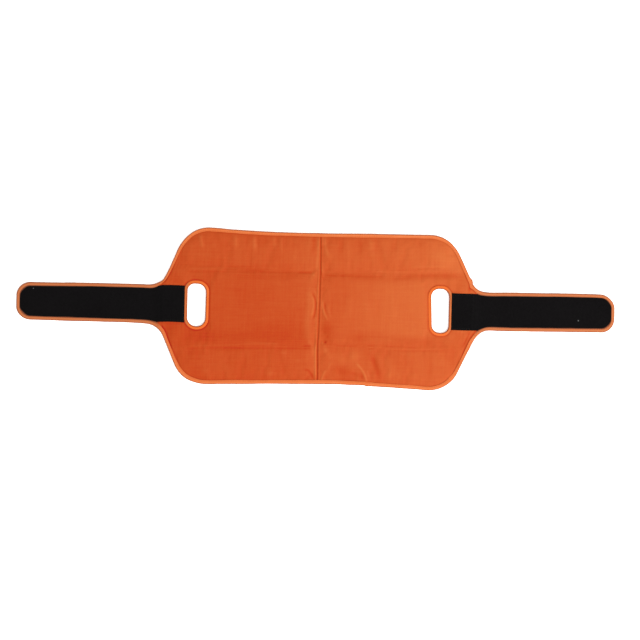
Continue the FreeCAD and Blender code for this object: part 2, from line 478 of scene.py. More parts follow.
def tape_edge_material(name, light, mid, rim, dull_light, dull_rim, leg, inner_edge_shade, sheen=0.08, rib=0.0010):
    """Folded binding tape: ribs across its width, a browner painted shade on the rim where the tape curves over, in
    patches, a painted shade at the inner edge of its leg along the straps, and duller along the straps.
    """
    m, nt, bsdf = new_material(name)
    N = Nodes(nt)
    along = N.attr("along").outputs["Fac"]
    across = N.attr("across").outputs["Fac"]
    dull = N.attr("dull").outputs["Fac"]
    rest = N.attr("rest").outputs["Vector"]
    n1 = N.noise(rest, 60.0, 3.0, 0.6)
    n2 = N.noise(rest, 900.0, 2.0, 0.6)
    rim_shade_patches = N.noise(scaled(N, rest, 90.0, 90.0, 90.0), 1.0, 4.0, 0.7)
    bright = N.mix(N.math("ADD", N.math("MULTIPLY", n1, 1.1), N.range(across, leg * 0.35, leg, -0.45, 0.45), clamp=True), light, mid)
    base = N.mix(dull, bright, dull_light)
    rimc = N.mix(dull, rim, dull_rim)
    # painted shade on the rim, where the tape curves away from the light, laid in patches by noise
    edge = N.range(across, 0.0011, 0.0022, 1.0, 0.0)
    base = N.mix(N.math("MULTIPLY", edge, N.range(rim_shade_patches, 0.3, 0.7, 0.55, 0.9), clamp=True), base, rimc)
    # painted shade along the inner edge of the leg, beside the tape, on the straps
    base = N.mix(N.math("MULTIPLY", N.range(across, leg * 0.80, leg * 0.97, 0.0, 0.85), dull), base, inner_edge_shade)
    ribs = N.math("SINE", N.math("MULTIPLY", along, 2 * math.pi / rib))
    cross = N.math("SINE", N.math("MULTIPLY", across, 2 * math.pi / 0.0008))
    # painted shade in the troughs between the ribs
    base = N.mix(N.range(ribs, -1.0, 0.0, 0.20, 0.0), base, rimc)
    base = N.mix(N.range(n2, 0.5, 0.85, 0.0, 0.22), base, light)
    N.put(bsdf.inputs["Base Color"], base)
    N.put(bsdf.inputs["Roughness"], N.range(n1, 0.3, 0.7, 0.55, 0.75))
    bsdf.inputs["Specular IOR Level"].default_value = 0.18
    bsdf.inputs["Sheen Weight"].default_value = sheen
    bsdf.inputs["Sheen Roughness"].default_value = 0.4
    bsdf.inputs["Sheen Tint"].default_value = (1.0, 0.7, 0.5, 1.0)
    h = N.math("ADD", ribs, N.math("ADD", N.math("MULTIPLY", cross, 0.4), N.math("MULTIPLY", n2, 1.2)))
    N.put(bsdf.inputs["Normal"], N.bump(h, 0.5, 0.00010))
    return m


def pile_material(name):
    """Black hook-and-loop tape: tufts in rows, dull, with a grey bloom where the pile is rubbed."""
    m, nt, bsdf = new_material(name)
    N = Nodes(nt)
    rest = N.attr("rest").outputs["Vector"]
    vor = N.add("ShaderNodeTexVoronoi", feature="F1")
    N.put(vor.inputs["Vector"], rest)
    vor.inputs["Scale"].default_value = 1150.0
    vor.inputs["Randomness"].default_value = 0.75
    d = vor.outputs["Distance"]
    n1 = N.noise(rest, 26.0, 4.0, 0.6)
    n2 = N.noise(rest, 2600.0, 2.0, 0.7)
    n3 = N.noise(rest, 300.0, 3.0, 0.65)
    base = N.mix(N.range(n1, 0.3, 0.75, 0.0, 1.0), (0.0012, 0.0008, 0.0009, 1), (0.0018, 0.0014, 0.0015, 1))
    # lighter at the tops of the tufts: a painted highlight
    base = N.mix(N.range(d, 0.1, 0.6, 0.35, 0.0), base, (0.0036, 0.0031, 0.0033, 1))
    base = N.mix(N.range(n2, 0.62, 0.82, 0.0, 0.5), base, (0.0062, 0.0056, 0.006, 1))
    # two specks of pale lint caught in the hooks
    for spot, size in (((0.3530, -0.0101, 0.003), 0.0009), ((-0.3905, 0.0174, 0.003), 0.0007)):
        away = N.add("ShaderNodeVectorMath", operation="DISTANCE")
        N.put(away.inputs[0], rest)
        away.inputs[1].default_value = spot
        near = N.range(N.math("ADD", away.outputs["Value"], N.math("MULTIPLY", n2, 0.0004)), size, size * 1.5, 0.9, 0.0)
        base = N.mix(near, base, (0.075, 0.078, 0.075, 1))
    N.put(bsdf.inputs["Base Color"], base)
    N.put(bsdf.inputs["Roughness"], N.range(n3, 0.3, 0.7, 0.82, 0.98))
    bsdf.inputs["Specular IOR Level"].default_value = 0.045
    bsdf.inputs["Sheen Weight"].default_value = 0.01
    bsdf.inputs["Sheen Roughness"].default_value = 0.6
    bsdf.inputs["Sheen Tint"].default_value = (0.8, 0.8, 0.85, 1.0)
    h = N.math("ADD", N.math("MULTIPLY", d, -1.2), N.math("MULTIPLY", n2, 0.6))
    nrm = N.bump(h, 0.8, 0.00035)
    nrm = N.bump(n3, 0.25, 0.0006, nrm)
    N.put(bsdf.inputs["Normal"], nrm)
    return m


def thread_material(name, col, dark, gloss=0.3):
    m, nt, bsdf = new_material(name)
    N = Nodes(nt)
    rest = N.attr("rest").outputs["Vector"]
    n1 = N.noise(rest, 500.0, 2.0, 0.6)
    sep = N.add("ShaderNodeSeparateXYZ")
    N.put(sep.inputs[0], rest)
    twist = N.math("SINE", N.math("MULTIPLY", N.math("ADD", sep.outputs[0], sep.outputs[1]), 2 * math.pi / 0.0005))
    base = N.mix(N.range(n1, 0.3, 0.7, 0.0, 0.6), col, dark)
    # painted shade in the grooves of the twist
    base = N.mix(N.range(twist, -1.0, 0.2, 0.35, 0.0), base, dark)
    N.put(bsdf.inputs["Base Color"], base)
    bsdf.inputs["Roughness"].default_value = 0.6
    bsdf.inputs["Specular IOR Level"].default_value = gloss
    bsdf.inputs["Sheen Weight"].default_value = 0.1 * gloss
    N.put(bsdf.inputs["Normal"], N.bump(twist, 0.6, 0.00006))
    return m


FACE = fabric_material("face_fabric", dye(196, 71, 18), dye(211, 103, 47))
BACK = fabric_material("back_fabric", dye(192, 72, 34), dye(208, 94, 50), pitch=0.0010, rough=0.8, sheen=0.12)
# in each binding the rim colours are painted shade for the curve of the rim, and the last colour is painted shade at
# the inner edge of the leg
DULL_RIM_SHADE = dye(160, 86, 52)
EDGE = tape_edge_material("edge_binding", dye(240, 126, 60), dye(228, 110, 46), dye(168, 82, 34), dye(206, 116, 62), DULL_RIM_SHADE, W_BIND * MM, dye(60, 22, 8))
SLOT = tape_edge_material("slot_binding", dye(247, 118, 34), dye(240, 104, 22), dye(150, 66, 26), dye(212, 116, 58), dye(150, 72, 36), W_SLOT_BIND * MM, dye(120, 60, 30))
TAIL = tape_edge_material("tail_binding", dye(240, 126, 60), dye(228, 110, 46), dye(168, 82, 34), dye(206, 116, 62), DULL_RIM_SHADE, W_TAIL_BIND * MM, dye(60, 22, 8))
PILE = pile_material("fastening_tape")
THREAD = thread_material("thread", dye(232, 116, 60), dye(190, 84, 40))
BLACK = thread_material("black_thread", (0.0030, 0.0026, 0.0026, 1), (0.001, 0.001, 0.001, 1), 0.12)


# ------------------------------------------------------------------ the padded panel
def edge_distance(X, Y):
    """Distance inwards from the outline."""
    pts = OUT_D
    flat = np.stack([X.ravel(), Y.ravel()], 1)
    out = np.empty(len(flat))
    for a in range(0, len(flat), 4000):
        block = flat[a:a + 4000]
        out[a:a + 4000] = np.sqrt(((block[:, None, :] - pts[None, :, :]) ** 2).sum(2).min(1))
    return out.reshape(X.shape)


def slot_outline(sg):
    """The rim of a slot, clockwise from above. The two were cut by hand and differ a little."""
    c, w = sg * SLOT_X, SLOT_W / 2
    if sg < 0:
        quad = [((c - w + 0.3, 29.0), 10.0), ((c + w, 29.2), 10.5), ((c + w - 0.6, -28.6), 12.2), ((c - w + 0.5, -28.6), 11.0)]
    else:
        quad = [((c - w + 0.5, 29.8), 10.0), ((c + w, 29.8), 10.5), ((c + w - 0.4, -29.6), 10.0), ((c - w + 2.6, -29.8), 10.5)]
    return resample(rounded([(np.array(p), r) for p, r in quad], 0.7), 1.1)


SLOT_LINES = {sg: slot_outline(sg) for sg in (-1, 1)}


def slot_distance(X, Y):
    """Distance outwards from the rim of the nearer slot; negative inside the slot."""
    out = np.full(X.shape, 99.0)
    for sg in (-1, 1):
        line, _ = SLOT_LINES[sg]
        _, nrm = inward(line)
        sel = (np.abs(X - sg * SLOT_X) < 36) & (np.abs(Y) < 54)
        px, py = X[sel], Y[sel]
        if px.size == 0:
            continue
        d2 = (px[:, None] - line[None, :, 0]) ** 2 + (py[:, None] - line[None, :, 1]) ** 2
        k = d2.argmin(1)
        side = -((px - line[k, 0]) * nrm[k, 0] + (py - line[k, 1]) * nrm[k, 1])
        out[sel] = np.sqrt(d2.min(1)) * np.where(side >= 0, 1, -1)
    return out


def seg_path(WX, WY, pts):
    """Distance to a bent line, and how far along it, from 0 to 1."""
    pts = np.array(pts, float)
    seg = np.linalg.norm(np.diff(pts, axis=0), axis=1)
    total, at = seg.sum(), 0.0
    best, along = np.full(WX.shape, 1e9), np.zeros(WX.shape)
    side = np.zeros(WX.shape)
    for a, b, l in zip(pts[:-1], pts[1:], seg):
        d = (b - a) / l
        t = np.clip((WX - a[0]) * d[0] + (WY - a[1]) * d[1], 0, l)
        dx, dy = WX - a[0] - d[0] * t, WY - a[1] - d[1] * t
        r = np.hypot(dx, dy)
        take = r < best
        best = np.where(take, r, best)
        along = np.where(take, (at + t) / total, along)
        side = np.where(take, np.sign(d[0] * dy - d[1] * dx), side)
        at += l
    return best, along, side


def upper_crease(x):
    return np.interp(x, [-200, -184, -120, -60, -7, 6, 60, 120, 197, 210], [55.5, 54.6, 51.2, 48.4, 46.4, 48.0, 49.4, 50.6, 52.2, 52.6]) + 0.35 * vnoise(x, x * 0, 22, 5)


def lower_crease(x):
    return np.interp(x, [-200, -188, -120, -60, -9, 10, 60, 120, 192, 210], [-60.2, -59.6, -56.6, -53.6, -51.6, -51.3, -52.0, -53.6, -52.8, -52.4]) + 0.35 * vnoise(x, x * 0 + 40, 22, 6)


def fold_line(y):
    """The line of the centre fold, which leans a little and wanders."""
    return knots(np.clip(y, -104, 104), [-104, -79, -58, -49, -38, -24, -6, 10, 24, 37, 48, 62, 78, 104],
                 [-1.2, -1.5, -2.0, -1.9, -1.4, -1.0, -.8, -.5, -.4, -.2, .05, -.2, -.4, -1.1])


# strokes over the face: points, width, height change, and tone change, which is painted shade in hollows and a painted
# highlight on ridges
STROKES = [
    (((-9.7, 98.2), (-9.5, 86), (-11.2, 72.3)), 3, -0.25, -0.36),
    (((-3.8, 95.6), (-3.6, 77.9), (-4.6, 61.6), (-4.5, 47.9)), 1.77, 0.25, 0.42),
    (((4.6, 97.2), (5.5, 84.9), (8.5, 75.5), (12.7, 67.4)), 2.18, 0.2, 0.34),
    (((1.8, 86.2), (2.4, 72.6), (2.4, 61.7)), 1.36, -0.12, -0.16),
    (((2.1, 56.3), (3.1, 49.5), (6.4, 47.6)), 1.36, 0.2, 0.25),
    (((0.8, 49.4), (2.8, 41.3), (5.9, 36.6)), 0.95, -0.2, -0.32),
    (((-31.7, 46.8), (-20.9, 46.9), (-10, 47.3)), 1.09, -0.32, -0.5),
    (((-11.2, 43.4), (-9.1, 44.6), (-7.2, 45.7)), 2.32, 0.35, 0.5),
    (((-14.5, 38.7), (-9.8, 40.2)), 2.32, 0.15, 0.25),
    (((7, 44.6), (13.3, 43.6), (22.8, 43.6)), 1.36, -0.2, -0.28),
    (((7.7, 48.7), (18.6, 48.4)), 1.09, 0.12, 0.15),
    (((-10.7, 21.1), (-9.3, 17.8), (-6.6, 12.5), (-5.2, 5.7), (-5.4, -2.5), (-6.9, -10.7), (-8.5, -16.2)), 1.16, -0.4, -0.52),
    (((-8.6, 24), (-6.7, 21.5), (-4.7, 18)), 1.09, 0.25, 0.3),
    (((-11.2, 16.4), (-9.1, 11), (-8.4, 2.9), (-9.2, -5.3), (-10.5, -12.1)), 1.36, 0.4, 0.55),
    (((-15, 28.6), (-14, 13.7), (-14.3, -4.1), (-15.2, -23.2), (-14.3, -36.8), (-11.4, -47.6)), 4.36, 0.35, 0.32),
    (((-2.6, 33), (-2.8, 15.3), (-3, -3.8)), 1.09, 0.2, 0.35),
    (((-6.1, 31.5), (-5.6, 23.4)), 0.68, -0.15, -0.25),
    (((-20, 9.4), (-17.7, -1.4)), 1.91, -0.15, -0.12),
    (((3.7, 10), (4.3, -0.9), (7, -9), (11, -16.4)), 1.36, 0.4, 0.6),
    (((1.5, 9.9), (1.8, 1.8)), 0.82, 0.12, 0.2),
    (((6.5, 7.3), (7.8, -2.2), (10.4, -9)), 0.95, -0.22, -0.3),
    (((10.3, 6), (12.7, -4.8), (15.9, -14.3)), 1.23, 0.18, 0.22),
    (((14.9, 2), (17.2, -8.8)), 1.23, -0.1, -0.14),
    (((6.5, -17.2), (10.8, -29.4), (13.9, -42.9)), 6.81, -0.45, -0.34),
    (((9.7, -38.3), (12.5, -40.8)), 1.36, -0.15, -0.22),
    (((8.6, -45.8), (9.2, -48.5)), 1.57, -0.9, -0.95),
    (((4, -46.6), (5, -49.7)), 1.36, 0.3, 0.4),
    (((-14.5, -42.2), (-13, -47.6), (-9.8, -51.6)), 2.18, 0.25, 0.35),
    (((-21.3, -52.9), (-9.8, -52.7)), 0.95, -0.25, -0.42),
    (((-21.2, -56.4), (-9.7, -56.1)), 0.95, -0.22, -0.4),
    (((-4.3, -48.8), (-4.5, -61.1), (-4.4, -80.1), (-3.6, -95.1)), 1.5, 0.3, 0.6),
    (((-8.7, -53), (-7.1, -66.6)), 1.63, 0.12, 0.2),
    (((-4.6, -10.7), (-4.3, -28.4), (-4.6, -44.7)), 1.09, 0.15, 0.3),
    (((-3.4, -24.3), (-2.7, -33.8)), 0.68, -0.15, -0.3),
    (((7.3, -53.3), (9.8, -58), (11.6, -62.7)), 3.27, 0.45, 0.5),
    (((14.4, -64.7), (18.5, -68.7)), 3.54, 0.2, 0.2),
    (((-19.3, -83.9), (-13, -86.2), (-8.7, -91.7), (-5.8, -99.2)), 1.63, -0.35, -0.5),
    (((-16.3, -94), (-12.1, -98)), 4.09, -0.2, -0.22),
    (((10.7, -85.2), (8.5, -88), (6, -94.1), (4.1, -100.4)), 1.5, 0.35, 0.5),
    (((18.6, -71.4), (14.7, -79.7), (12.1, -86.6)), 2.04, 0.2, 0.2),
    (((12.2, -90.7), (11, -97.5)), 1.36, -0.15, -0.2),
    (((45.4, -53.1), (49.1, -63.9), (51.4, -77.5)), 5.99, 0.4, 0.3),
    (((42.9, -62.7), (47.2, -70.8)), 3.54, 0.12, 0.12),
    (((26.6, -65.8), (36.3, -72.4), (43.2, -75)), 4.36, 0.25, 0.2),
    (((51.4, -74.1), (54.9, -78.2), (59, -82.8), (62.9, -88.8), (65.5, -95.6), (66.7, -101.7)), 1.36, 0.7, 0.75),
    (((65.2, -82.6), (68.1, -90.1), (71, -98.9)), 1.23, 0.3, 0.34),
    (((16.2, -87.8), (27, -82.8), (36.6, -84.7), (46.3, -91.2)), 5.72, -0.3, -0.24),
    (((24.4, -87.7), (34, -88.1), (46.4, -95.3)), 4.09, -0.2, -0.16),
    (((20.5, -95.9), (36.9, -96.9), (53.3, -97.9)), 2.18, -0.1, -0.14),
    (((42.1, -86.6), (49, -89.8), (56.5, -91), (60, -96.4)), 2.32, -0.2, -0.26),
    (((58.8, -88.9), (61.4, -95.7)), 1.5, -0.25, -0.4),
    (((69.5, -62.1), (75.8, -71.5), (81, -83.7), (84.6, -97.2)), 3.95, -0.55, -0.42),
    (((96.5, -83.3), (97.5, -96.9)), 2.45, 0.25, 0.22),
    (((108.8, -85.8), (111.8, -97.9)), 2.18, 0.2, 0.16),
    (((89.2, -63), (97.8, -77.8), (103.5, -92.7)), 5.45, 0.2, 0.12),
    (((66.5, -50.7), (74.7, -50.6)), 0.82, -0.15, -0.3),
    (((66.6, -55.1), (74.8, -54.6)), 0.82, -0.15, -0.3),
    (((67.9, -52.9), (74, -52.8)), 0.82, 0.1, 0.24),
    (((68, -57.2), (72.8, -57.1)), 0.82, 0.1, 0.22),
    (((42.4, -39.6), (53.4, -42), (64.2, -41.8)), 5.45, -0.2, -0.18),
    (((-165.6, 97.4), (-163.5, 89.3), (-160.2, 75.8)), 2.32, 0.5, 0.34),
    (((-116, 97.2), (-115.8, 87.7), (-114.8, 76.8)), 2.59, 0.45, 0.32),
    (((-91.2, 96.4), (-90.4, 86.9), (-89.4, 76)), 2.72, 0.6, 0.46),
    (((-63.9, 95.6), (-63.3, 79.3)), 1.91, 0.4, 0.3),
    (((-54.6, 95.8), (-54, 80.9), (-52.2, 72.7)), 1.5, 0.25, 0.18),
    (((-148.4, 85.6), (-142.8, 77.5)), 3, 0.15, 0.1),
    (((-102.3, 93.4), (-100.6, 79.8)), 2.18, -0.2, -0.12),
    (((-75, 94), (-74.8, 81.8)), 2.72, -0.2, -0.1),
    (((-36.5, 74.5), (-37.5, 60.8)), 3, 0.15, 0.12),
    (((-177.6, 49.2), (-158.5, 49.1), (-134, 50.5)), 2.18, 0.15, 0.16),
    (((-134, 48.8), (-114.9, 49.1), (-95.8, 49.1), (-76.7, 48.2)), 0.82, -0.12, -0.2),
    (((-131.3, 52.7), (-109.6, 53.5), (-93.2, 53.3)), 0.68, -0.1, -0.14),
    (((-182.9, 44.9), (-157, 45), (-133.9, 45.4), (-109.4, 46.1), (-82.1, 46.3), (-30.4, 46.8)), 0.95, -0.18, -0.16),
    (((-129.7, 39.7), (-79.3, 39.4), (-27.5, 40.6)), 3.54, -0.2, -0.12),
    (((-175.2, -55.4), (-123.5, -54.2), (-99, -51.5), (-77.2, -50.7), (-51.3, -50.9)), 1.09, 0.15, 0.22),
    (((-183.3, -60.5), (-154.7, -59), (-127.5, -58)), 1.09, -0.12, -0.12),
    (((-131.6, -58.1), (-115.2, -57.7), (-104.3, -57.6)), 1.09, -0.15, -0.28),
    (((-109.8, -57.7), (-77.1, -57.1), (-47.1, -56.8), (-18.5, -56.3)), 0.95, -0.12, -0.22),
    (((-183.6, -44.7), (-141.5, -42.3), (-93.8, -40.5), (-52.9, -41.2), (-17.4, -45)), 6.54, -0.1, -0.08),
    (((-47.1, -57.9), (-46.9, -67.5)), 4.09, 0.3, 0.26),
    (((-155.5, -84.9), (-149.8, -94.3)), 4.36, 0.35, 0.22),
    (((-65.5, -85.6), (-64.6, -97.8)), 3.54, 0.35, 0.26),
    (((-30.4, -72.5), (-25, -73.1)), 2.72, 0.2, 0.2),
    (((-171.9, -83.9), (-166.2, -93.3)), 3.54, -0.15, -0.1),
    (((-125.5, -86.9), (-122.4, -100.5)), 3.27, 0.15, 0.08),
    (((67.7, 97.2), (68.2, 85), (67.7, 75.4)), 3.54, 0.45, 0.26),
    (((53.8, 94.2), (54.6, 83.3), (54.4, 71.1)), 3.54, -0.35, -0.2),
    (((99.3, 95.2), (99.6, 84.3), (99.8, 73.4)), 3.54, -0.35, -0.2),
    (((27.1, 95), (27.4, 82.7), (26.3, 69.1)), 4.36, -0.3, -0.2),
    (((36.2, 92.4), (37.2, 72), (37.6, 51.6)), 2.72, 0.2, 0.1),
    (((132, 94.6), (140.4, 86.6)), 6.13, -0.2, -0.1),
    (((121.3, 84.8), (124.3, 74)), 3.54, 0.2, 0.1),
    (((148.7, 78.6), (162.5, 72.1), (176.3, 65.6)), 6.27, 0.35, 0.2),
    (((171.6, 91.4), (182.9, 73.9)), 4.09, 0.25, 0.14),
    (((22.8, 43.9), (40.5, 43.8), (62.3, 44), (86.8, 43.7)), 1.5, -0.2, -0.2),
    (((33.8, 42), (86.9, 41), (115.5, 41.9), (142.7, 43.9), (165.8, 46), (190.3, 46.9), (203.9, 46.4)), 5.18, -0.3, -0.2),
    (((101.9, 42.2), (125, 44.9), (149.4, 47), (169.9, 48), (190.3, 47.7)), 3.54, -0.25, -0.22),
    (((130.2, 55), (146.5, 56.2), (164.2, 56.9)), 0.82, -0.15, -0.22),
    (((101.6, 53.7), (115.2, 53.6)), 0.82, -0.1, -0.16),
    (((121.9, 58.1), (149.2, 59.8), (173.7, 60.1)), 1.23, 0.15, 0.14),
    (((160.5, 38.7), (179.5, 41.2), (195.9, 38.8)), 2.72, 0.1, 0.08),
    (((32.3, 48.2), (43.1, 48.5)), 0.82, 0.12, 0.15),
    (((75.8, 50.6), (86.7, 50.8)), 0.82, 0.12, 0.2),
    (((35.5, -35.6), (76.4, -36.1), (110.5, -39.4), (144.7, -43.4), (165.1, -45)), 5.99, -0.25, -0.18),
    (((89, -50.8), (110.8, -50.6), (135.3, -52.5)), 0.82, -0.2, -0.2),
    (((97.3, -56.6), (117.7, -56.4), (151.8, -55.9), (185.7, -52.7)), 0.82, -0.2, -0.2),
    (((89, -53.8), (135.4, -54.6)), 1.09, 0.15, 0.1),
    (((22.2, -51.3), (35.9, -51.4), (53.6, -51)), 0.82, -0.2, -0.24),
    (((149.2, -63), (152.2, -76.6), (151.2, -93)), 4.09, -0.3, -0.18),
    (((165.5, -62.7), (168.6, -79)), 5.45, 0.2, 0.12),
    (((130.6, -85.3), (132.2, -96.1)), 3, 0.2, 0.12),
    (((62.9, 16.8), (65, -13.2)), 3.27, 0.2, 0.1),
    (((98.2, 23), (100.5, -17.8)), 4.09, 0.2, 0.08),
    (((79.4, 11.7), (80, -15.6)), 3.27, -0.15, -0.1),
    (((41, 21.7), (39.1, -13.8)), 4.09, 0.2, 0.08),
    (((205.9, 40.4), (204.5, 32.2), (202.8, 24)), 2.18, -0.3, -0.75),
    (((179.9, 25.4), (190.8, 25.4), (200.3, 26.9)), 1.36, -0.1, -0.2),
    (((200.2, -31.2), (205.1, -29.1), (200.4, -40.1), (196.5, -48.4)), 1.36, -0.2, -0.45),
    (((-212.5, 28.3), (-209.3, 34.5), (-206, 42)), 1.36, -0.2, -0.45),
    (((-217.4, -29.1), (-211.6, -37.1), (-206.7, -47.9), (-202.4, -58.7)), 1.36, -0.2, -0.4),
    (((-207.1, 27.3), (-188, 26.9)), 1.23, 0.1, 0.2),
    (((-209.9, -26.7), (-186.8, -26.5)), 0.95, -0.1, -0.2),
    (((183.8, -28.2), (197.4, -27.9)), 1.23, 0.1, 0.16),
    (((-177.3, 37.2), (-181.3, 31.7)), 2.72, 0.1, 0.12),
]


_sim = {}


def simulate_skin():
    """Cloth simulation of the face fabric over its foam. The fabric is held where it is sewn or creased, has one percent
    more cloth than space, and is pushed up softly, so it puckers along the seams as the real one does."""
    step = 4.4
    xs = np.arange(-PANEL_END, PANEL_END + 0.1, PANEL_END * 2 / round(PANEL_END * 2 / step))
    rows = 48
    hh = half_height(4.6)
    h = hh(xs)
    v = np.linspace(-1, 1, rows + 1)
    X = np.repeat(xs[:, None], rows + 1, 1)
    Y = h[:, None] * v[None, :]
    nc, nr = X.shape
    sd = slot_distance(X, Y)
    keep = sd > 1.5
    idx = np.arange(nc * nr).reshape(nc, nr)
    faces = []
    for i in range(nc - 1):
        for j in range(nr - 1):
            if keep[i, j] and keep[i + 1, j] and keep[i + 1, j + 1] and keep[i, j + 1]:
                faces.append([int(idx[i, j]), int(idx[i + 1, j]), int(idx[i + 1, j + 1]), int(idx[i, j + 1])])
    z = 0.25 * fbm(X, Y, 26, 91)
    mesh = bpy.data.meshes.new("skin_sim")
    mesh.from_pydata((np.stack([X.ravel(), Y.ravel(), z.ravel()], 1) * MM).tolist(), [], faces)
    mesh.update()
    ob = bpy.data.objects.new("skin_sim", mesh)
    bpy.context.scene.collection.objects.link(ob)
    WX, WY = warp(X, Y)
    pin = np.zeros(X.shape)
    pin[:, 0] = pin[:, -1] = 1
    pin[0, :] = pin[-1, :] = 1
    pin = np.maximum(pin, (sd < 5.0) * 1.0)
    pin = np.maximum(pin, bell(WX - fold_line(WY), 3.2))
    pin = np.maximum(pin, 0.75 * bell(WY - upper_crease(WX), 2.4) * (np.abs(WX) > 9))
    pin = np.maximum(pin, 0.55 * bell(WY - lower_crease(WX), 2.4) * (np.abs(WX) > 9))
    pin = np.maximum(pin, 1.0 * ((np.abs(X) > TAPE_END + 1) & (np.abs(Y) < TAPE_HALF - 1)))
    group = ob.vertex_groups.new(name="pin")
    for k, w in enumerate(pin.ravel().tolist()):
        if w > 0.02:
            group.add([k], min(1.0, w), "REPLACE")
    mod = ob.modifiers.new("cloth", "CLOTH")
    st = mod.settings
    st.quality = 6
    st.mass = 0.12
    st.tension_stiffness = 12
    st.compression_stiffness = 12
    st.shear_stiffness = 4
    st.bending_stiffness = 0.08
    st.vertex_group_mass = "pin"
    st.pin_stiffness = 1.0
    st.shrink_min = -0.011
    mod.collision_settings.use_collision = False
    mod.collision_settings.use_self_collision = False
    st.effector_weights.gravity = 1.0
    scene = bpy.context.scene
    old = tuple(scene.gravity)
    scene.gravity = (0.0, 0.0, 1.6)
    mod.point_cache.frame_start = 1
    mod.point_cache.frame_end = 26
    for f in range(1, 27):
        scene.frame_set(f)
    dg = bpy.context.evaluated_depsgraph_get()
    ev = ob.evaluated_get(dg)
    co = np.zeros(len(ev.data.vertices) * 3, np.float32)
    ev.data.vertices.foreach_get("co", co)
    co = co.reshape(-1, 3) / MM
    scene.gravity = old
    scene.frame_set(1)
    bpy.data.objects.remove(ob)
    bpy.data.meshes.remove(mesh)
    _sim["xs"], _sim["v"], _sim["h"] = xs, v, hh
    _sim["dz"] = np.clip(co[:, 2].reshape(nc, nr), -1.6, 2.4)
    _sim["ok"] = bool(np.isfinite(co).all())


def sim_lift(X, Y):
    """Height that the simulated skin gained at (X, Y), millimetres, smoothly read from its grid."""
    if not _sim.get("ok"):
        return np.zeros(X.shape)
    xs, hh, dz = _sim["xs"], _sim["h"], _sim["dz"]
    nc, nr = dz.shape
    gx = np.clip((X - xs[0]) / (xs[1] - xs[0]), 0, nc - 1.001)
    gy = np.clip((Y / hh(X) + 1) / 2 * (nr - 1), 0, nr - 1.001)

    def cubic(p0, p1, p2, p3, t):
        return p1 + 0.5 * t * (p2 - p0 + t * (2 * p0 - 5 * p1 + 4 * p2 - p3 + t * (3 * (p1 - p2) + p3 - p0)))
    ix, iy = np.floor(gx).astype(int), np.floor(gy).astype(int)
    fx, fy = gx - ix, gy - iy
    rows = []
    for a in (-1, 0, 1, 2):
        i = np.clip(ix + a, 0, nc - 1)
        rows.append(cubic(*[dz[i, np.clip(iy + b, 0, nr - 1)] for b in (-1, 0, 1, 2)], fy))
    return cubic(*rows, fx)


